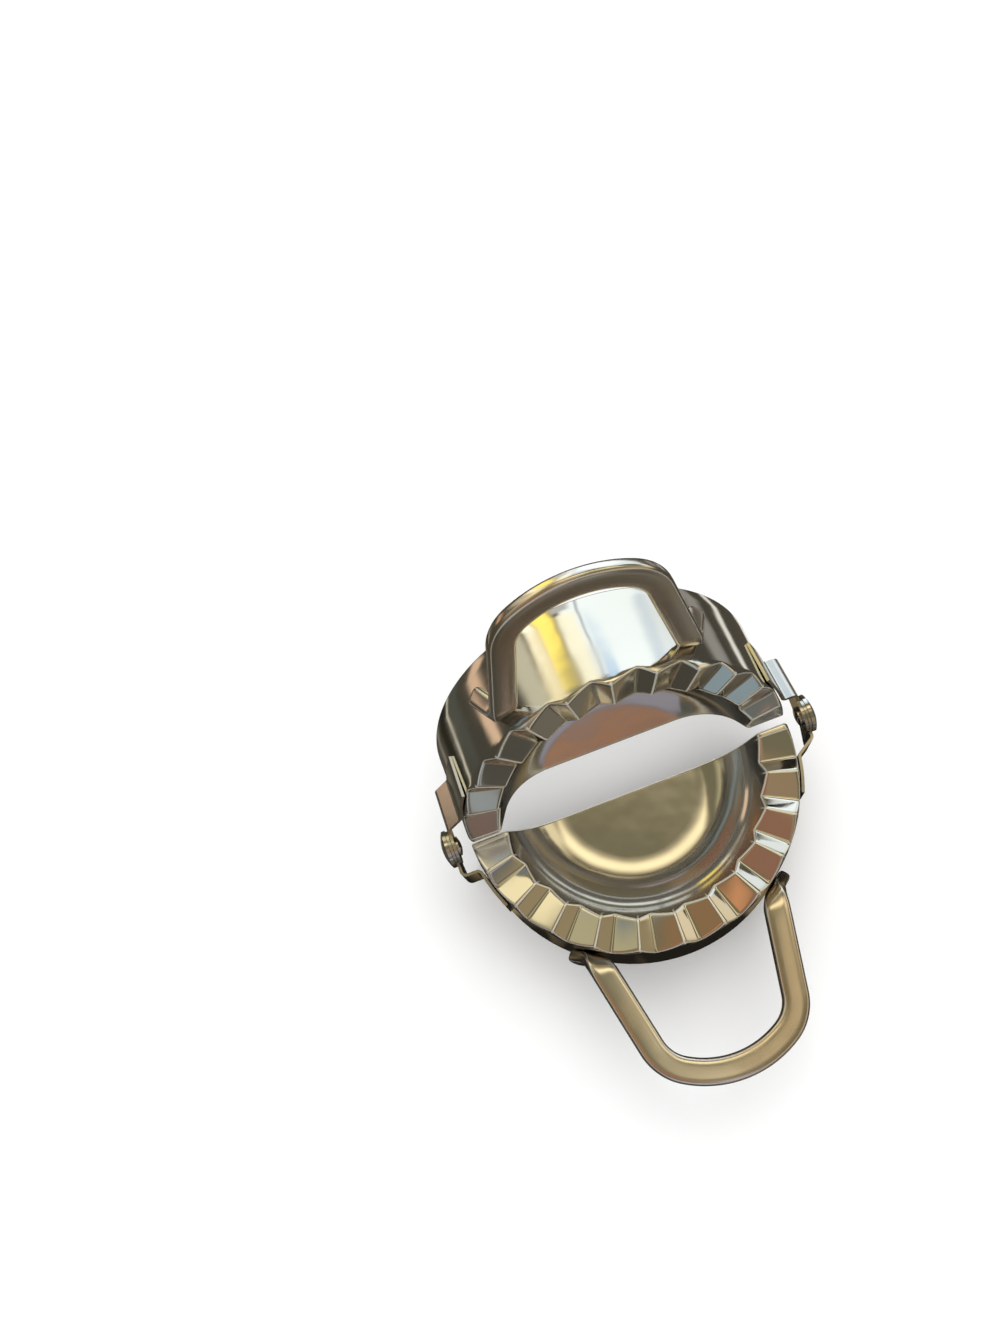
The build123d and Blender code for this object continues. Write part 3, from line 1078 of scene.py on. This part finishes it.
        # Painted highlight lines along the bar's four rounded corners.
        corners = slice(self.points_round // 8, None, self.points_round // 4)
        mesh.painted_light_and_wear(rows[:, corners], self.corner_highlight)
        mesh.add_loops(list(rows))
        mesh.faces += [tuple(rows[0].tolist()), tuple(rows[-1].tolist())]
        made = mesh.to_object(f"{self.half.value.split('_')[0]}_bar_handle", place)
        stored = made.data.attributes.new(RUN_ATTRIBUTE, "FLOAT_VECTOR", "POINT")
        stored.data.foreach_set("vector", run.ravel())
        return made

    def dress(self, piece: bpy.types.Object) -> None:
        """Give the handle its finish, and let it stand for its CAD node.

        Args:
            piece: The handle's object.
        """
        piece.data.materials.append(self.finish.material())
        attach(piece, self.half.value)
        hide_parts(f"{self.half.value.split('_')[0]}_handle")
        LOG.info("%s: %d faces", piece.name, len(piece.data.polygons))


# ---- Pieces that keep their CAD shape ----


@dataclass
class CadPieces:
    """CAD nodes of one kind, which keep their shape and share a finish."""

    nodes: tuple[str, ...]
    finish: SteelFinish
    edge_width: float = 0.0
    sharp_from: float = 35.0

    def dress(self) -> None:
        """Give each node the finish, and soften its sharp edges."""
        material = self.finish.material()
        for name in self.nodes:
            node = frame["nodes"][name]
            node.data.materials.clear()
            node.data.materials.append(material)
            if self.edge_width:
                softening = node.modifiers.new("soft_edges", "BEVEL")
                softening.width = self.edge_width
                softening.segments = 2
                softening.limit_method = "ANGLE"
                softening.angle_limit = math.radians(self.sharp_from)
                softening.harden_normals = False
            LOG.info("%s: dressed with %s", name, self.finish.name)


# ---- Studio ----


@dataclass(frozen=True)
class Panel:
    """A soft panel of the tent, seen from the press.

    Azimuth is in degrees from +Y towards +X, elevation in degrees above the floor.
    """

    name: str
    azimuth: float
    elevation: float
    width: float
    height: float
    softness: float
    colour: Triple

    def share(self, sheet: NodeSheet, azimuth: Socket, elevation: Socket) -> Socket:
        """Work out how much of a direction the panel covers.

        Args:
            sheet: Sheet to lay the nodes on.
            azimuth: Socket with the direction's azimuth.
            elevation: Socket with the direction's elevation.

        Returns:
            Socket with 1 in the panel, fading to 0 over its softness.
        """
        across = sheet.math("WRAP", sheet.math("SUBTRACT", azimuth, self.azimuth), 180, -180)
        up = sheet.math("SUBTRACT", elevation, self.elevation)
        covered = [
            sheet.ramp(
                sheet.math("ABSOLUTE", away),
                (size - self.softness) / 2,
                (size + self.softness) / 2,
                1.0,
                0.0,
            )
            for away, size in ((across, self.width), (up, self.height))
        ]
        return sheet.math("MULTIPLY", *covered)


TENT_PANELS = (
    Panel("khaki_wall_back", -8, 44, 40, 18, 10, (0.36, 0.32, 0.19)),
    Panel("khaki_wall_left", -52, 44, 34, 30, 10, (0.62, 0.56, 0.34)),
    Panel("grey_wall_left", -66, 34, 20, 24, 10, (0.30, 0.33, 0.31)),
    Panel("blue_wall_left", -54, 32, 34, 13, 6, (0.46, 0.52, 0.56)),
    Panel("brown_wall_left", -96, 50, 42, 34, 9, (0.36, 0.22, 0.11)),
    Panel("orange_spot", -110, 56, 11, 6, 6, (0.90, 0.42, 0.20)),
    Panel("brown_wall_front", -140, 56, 44, 26, 9, (0.38, 0.20, 0.13)),
    Panel("khaki_front", -172, 56, 26, 26, 9, (0.42, 0.30, 0.18)),
    Panel("warm_front_right", 130, 27, 84, 26, 9, (0.42, 0.33, 0.19)),
    Panel("grey_front", -176, 33, 36, 22, 8, (0.19, 0.20, 0.19)),
    Panel("lilac_front", 179, 44, 19, 14, 3, (0.60, 0.60, 0.78)),
    Panel("orange_front", 177, 33, 11, 6, 2, (0.80, 0.42, 0.25)),
    Panel("pale_front_low", -174, 15, 18, 7, 3, (0.70, 0.72, 0.70)),
    Panel("blue_front_left", -152, 17, 30, 26, 8, (0.34, 0.44, 0.50)),
    Panel("cream_right", 84, 16, 28, 16, 6, (1.05, 0.90, 0.62)),
    Panel("cream_high_right", 74, 55, 44, 22, 14, (1.15, 0.98, 0.62)),
    Panel("window", 24, 21, 52, 32, 5, (1.42, 1.56, 1.62)),
    Panel("window_sky", 16, 38, 8, 12, 4, (0.82, 1.08, 1.40)),
    Panel("window_edge", 42, 22, 6, 26, 5, (1.0, 1.14, 1.28)),
    Panel("curtain_shade", -1, 19, 11, 16, 3, (0.72, 0.72, 0.68)),
    Panel("curtain_light", 0, 37, 12, 12, 4, (1.60, 1.54, 1.20)),
    Panel("window_right", 58, 13, 26, 12, 5, (1.15, 1.25, 1.3)),
    Panel("yellow_blind", -13, 20, 11, 27, 4, (1.90, 1.52, 0.34)),
    Panel("white_blind", -22, 20, 6, 26, 3, (1.85, 1.75, 1.40)),
    Panel("cream_left", -28, 37, 20, 18, 7, (1.35, 1.18, 0.74)),
    Panel("pale_blind_left", -33, 19, 11, 22, 5, (0.80, 0.76, 0.58)),
    Panel("overhead_strip", 16, 67, 74, 14, 12, (1.75, 1.48, 0.92)),
    Panel("overhead_front", 140, 80, 130, 12, 8, (0.85, 0.72, 0.46)),
    Panel("window_bar", 9, 21, 1.6, 32, 0.8, (0.55, 0.60, 0.66)),
    Panel("grey_low_front", 160, -20, 56, 64, 12, (0.20, 0.18, 0.145)),
    Panel("dark_low_front", -179, -36, 26, 30, 5, (0.105, 0.09, 0.068)),
    Panel("steel_low_front", 171, 2, 9, 12, 6, (0.40, 0.44, 0.46)),
    Panel("shade_low_front", 159, -7, 15, 18, 4, (0.105, 0.098, 0.082)),
    Panel("rose_front", 179, 5, 8, 7, 3, (0.26, 0.165, 0.14)),
    Panel("tan_low_left", -48.5, -2.5, 15, 9, 2.5, (1.04, 0.74, 0.52)),
    Panel("grey_low_left", -54, -24, 16, 10, 6, (0.11, 0.115, 0.095)),
    Panel("streak_low_left", -57, -33, 30, 3, 2, (0.80, 0.75, 0.62)),
    Panel("dark_low_left", -55, -42, 30, 12, 7, (0.03, 0.027, 0.018)),
    Panel("pale_low_left", -52, -57, 30, 6, 4, (0.24, 0.21, 0.165)),
    Panel("grey_low_right", 55, -15, 16, 10, 5, (0.40, 0.39, 0.37)),
    Panel("pale_low_right", 58, -33, 16, 4, 3, (1.15, 1.14, 1.05)),
    Panel("dark_low_right", 58, -48, 26, 12, 6, (0.09, 0.08, 0.06)),
    Panel("bright_low_right", 54, -64, 30, 7, 4, (1.0, 0.93, 0.82)),
)


@dataclass
class ReflectionTent:
    """A dome round the press that only its mirror finish shows."""

    centre: Vector
    radius: float = 1.6
    ceiling: Triple = (0.235, 0.21, 0.13)
    horizon: Triple = (0.085, 0.078, 0.062)
    horizon_end: float = 5.0
    ceiling_start: float = 60.0
    panels: tuple[Panel, ...] = TENT_PANELS

    def material(self) -> bpy.types.Material:
        """Build the dome's glow: a dark room with soft panels in it.

        Returns:
            The finished material.
        """
        sheet = NodeSheet("tent_glow")
        parts = sheet.node("SeparateXYZ", {"Vector": sheet.place}).outputs
        azimuth = sheet.math("DEGREES", sheet.math("ARCTAN2", parts["X"], parts["Y"]))
        lift = sheet.math("DIVIDE", parts["Z"], self.radius)
        elevation = sheet.math("DEGREES", sheet.math("ARCSINE", lift))
        share = sheet.ramp(elevation, self.horizon_end, self.ceiling_start)
        colour = sheet.blend(share, self.horizon, self.ceiling)
        for panel in self.panels:
            colour = sheet.blend(panel.share(sheet, azimuth, elevation), colour, panel.colour)
        return sheet.glow(colour)

    def build(self) -> None:
        """Make the dome."""
        bpy.ops.mesh.primitive_uv_sphere_add(
            segments=48, ring_count=24, radius=self.radius, location=self.centre
        )
        dome = bpy.context.object
        dome.name = "reflection_tent"
        dome.data.materials.append(self.material())
        show_in_mirrors_only(dome)


@dataclass
class Floor:
    """A plain pale floor, with a dark mat of painted shade that only the mirror finish shows."""

    size: float = 12.0
    drop: float = 0.02 * MM
    shade: Triple = (0.96, 0.96, 0.955)
    cloud_shade: float = 0.985
    cloud_scale: float = 1.5
    octaves: float = 2.0
    roughness: float = 0.9
    gloss_level: float = 0.1
    mat_radius: float = 52.0 * MM
    mat_lift: float = 0.15 * MM
    # Painted shade: the mat is nearly black under and round the press, with glowing golden streaks,
    # and dark further out.
    mat_painted_shade: Triple = (0.016, 0.014, 0.011)
    mat_streaks: Triple = (0.26, 0.20, 0.11)
    mat_far: Triple = (0.085, 0.078, 0.062)
    mat_fade: tuple[float, float] = (0.040, 0.052)
    streak_scale: float = 70.0
    streak_span: tuple[float, float] = (0.50, 0.66)

    def build(self) -> None:
        """Make the floor and the mat."""
        bpy.ops.mesh.primitive_plane_add(size=self.size, location=(0, 0, -self.drop))
        floor = bpy.context.object
        floor.name = "pale_floor"
        floor.data.materials.append(self.material())
        floor.visible_glossy = False
        # Painted shade: a glowing mat, seen only in the mirror finish, stands for the shaded floor
        # round the press.
        bpy.ops.mesh.primitive_circle_add(
            vertices=96, radius=self.mat_radius, fill_type="NGON", location=(0, 0, self.mat_lift)
        )
        mat = bpy.context.object
        mat.name = "painted_shade_mat"
        mat.data.materials.append(self.mat_material())
        show_in_mirrors_only(mat)

    def material(self) -> bpy.types.Material:
        """Build the floor's paper, a little cloudy.

        Returns:
            The finished material.
        """
        sheet = NodeSheet("pale_floor_paper")
        darker = tuple(channel * self.cloud_shade for channel in self.shade)
        clouds = sheet.noise(sheet.place, self.cloud_scale, self.octaves)
        surface = {
            "Base Color": sheet.blend(clouds, self.shade, darker),
            "Roughness": self.roughness,
            "Specular IOR Level": self.gloss_level,
        }
        return sheet.output(sheet.node("BsdfPrincipled", surface).outputs["BSDF"])

    def mat_material(self) -> bpy.types.Material:
        """Build the mat's glow: painted shade, nearly black close to the press, with glowing golden
        streaks.

        Returns:
            The finished material.
        """
        sheet = NodeSheet("painted_shade_mat_glow")
        away = sheet.node("VectorMath", {0: sheet.place}, operation="LENGTH")
        streaks = sheet.noise(sheet.place, self.streak_scale, self.octaves)
        patches = sheet.ramp(streaks, *self.streak_span)
        # Painted shade near the press, broken by glowing golden streaks.
        near = sheet.blend(patches, self.mat_painted_shade, self.mat_streaks)
        share = sheet.ramp(away.outputs["Value"], *self.mat_fade)
        return sheet.glow(sheet.blend(share, near, self.mat_far))


def show_in_mirrors_only(prop: bpy.types.Object) -> None:
    """Hide a studio prop from every ray that a mirror finish doesn't send.

    Args:
        prop: The prop.
    """
    for rays in ("camera", "diffuse", "transmission", "volume_scatter", "shadow"):
        setattr(prop, f"visible_{rays}", False)


@dataclass
class SoftLight:
    """Even light from all round, and one large soft lamp that gives the press its shadow."""

    ambient: float = 1.02
    lamp_place: Triple = (0.35, 0.55, 0.9)
    lamp_size: float = 1.0
    lamp_watts: float = 4.0

    def build(self) -> None:
        """Make the world and the lamp."""
        world = bpy.data.worlds.new("even_light")
        world.use_nodes = True
        sky = world.node_tree.nodes["Background"]
        sky.inputs["Color"].default_value = (1.0, 1.0, 1.0, 1.0)
        sky.inputs["Strength"].default_value = self.ambient
        bpy.context.scene.world = world
        lamp = bpy.data.lights.new("soft_lamp", "AREA")
        lamp.shape = "DISK"
        lamp.size = self.lamp_size
        lamp.energy = self.lamp_watts
        holder = bpy.data.objects.new("soft_lamp", lamp)
        holder.location = self.lamp_place
        holder.rotation_euler = (-Vector(self.lamp_place)).to_track_quat("-Z", "Y").to_euler()
        holder.visible_glossy = False
        bpy.context.scene.collection.objects.link(holder)


@dataclass
class Viewpoint:
    """The camera: where it stands, what it looks at and how far it is tipped."""

    eye: Triple = (-17.72 * MM, -36.42 * MM, 282.62 * MM)
    target: Triple = (-15.98 * MM, 50.25 * MM, 12.0 * MM)
    roll_degrees: float = -19.74
    focal_pixels: float = 1300.0
    image_height: float = 1333.0
    sensor: float = 36.0
    clip_start: float = 10 * MM

    def build(self) -> None:
        """Make the camera and make it the scene's."""
        eye = Vector(self.eye)
        forward = (Vector(self.target) - eye).normalized()
        level = forward.cross(Vector((0, 0, 1))).normalized()
        upright = level.cross(forward)
        roll = math.radians(self.roll_degrees)
        right = level * math.cos(roll) + upright * math.sin(roll)
        up = upright * math.cos(roll) - level * math.sin(roll)
        lens = bpy.data.cameras.new("viewpoint")
        lens.sensor_width = self.sensor
        lens.lens = self.focal_pixels / self.image_height * self.sensor
        lens.clip_start = self.clip_start
        camera = bpy.data.objects.new("viewpoint", lens)
        turned = Matrix((right, up, -forward)).transposed().to_4x4()
        camera.matrix_world = Matrix.Translation(eye) @ turned
        bpy.context.scene.collection.objects.link(camera)
        bpy.context.scene.camera = camera


# ---- The whole scene ----


def main() -> None:
    """Build the camera, the pieces and the studio."""
    logging.basicConfig(level=logging.INFO, format="%(name)s: %(message)s")
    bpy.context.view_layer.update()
    Viewpoint().build()
    hinge = HingePlace.from_frame()
    for half in Half:
        shell = StampedHalf(half)
        shell.dress(shell.build(hinge.matrix(half)))
        handle = BarHandle(half, shell)
        handle.dress(handle.build(hinge.matrix(half)))
    straps = tuple(name for name in sorted(frame["nodes"]) if name.endswith("hinge_strap"))
    CadPieces(straps, STRAP_PLATE, edge_width=0.1 * MM).dress()
    CadPieces(("left_hinge_rivet", "right_hinge_rivet"), RIVET_HEAD, edge_width=0.12 * MM).dress()
    ReflectionTent(hinge.centre).build()
    Floor().build()
    SoftLight().build()
    bpy.context.scene.view_settings.view_transform = "Standard"


if __name__ == "__main__":
    main()
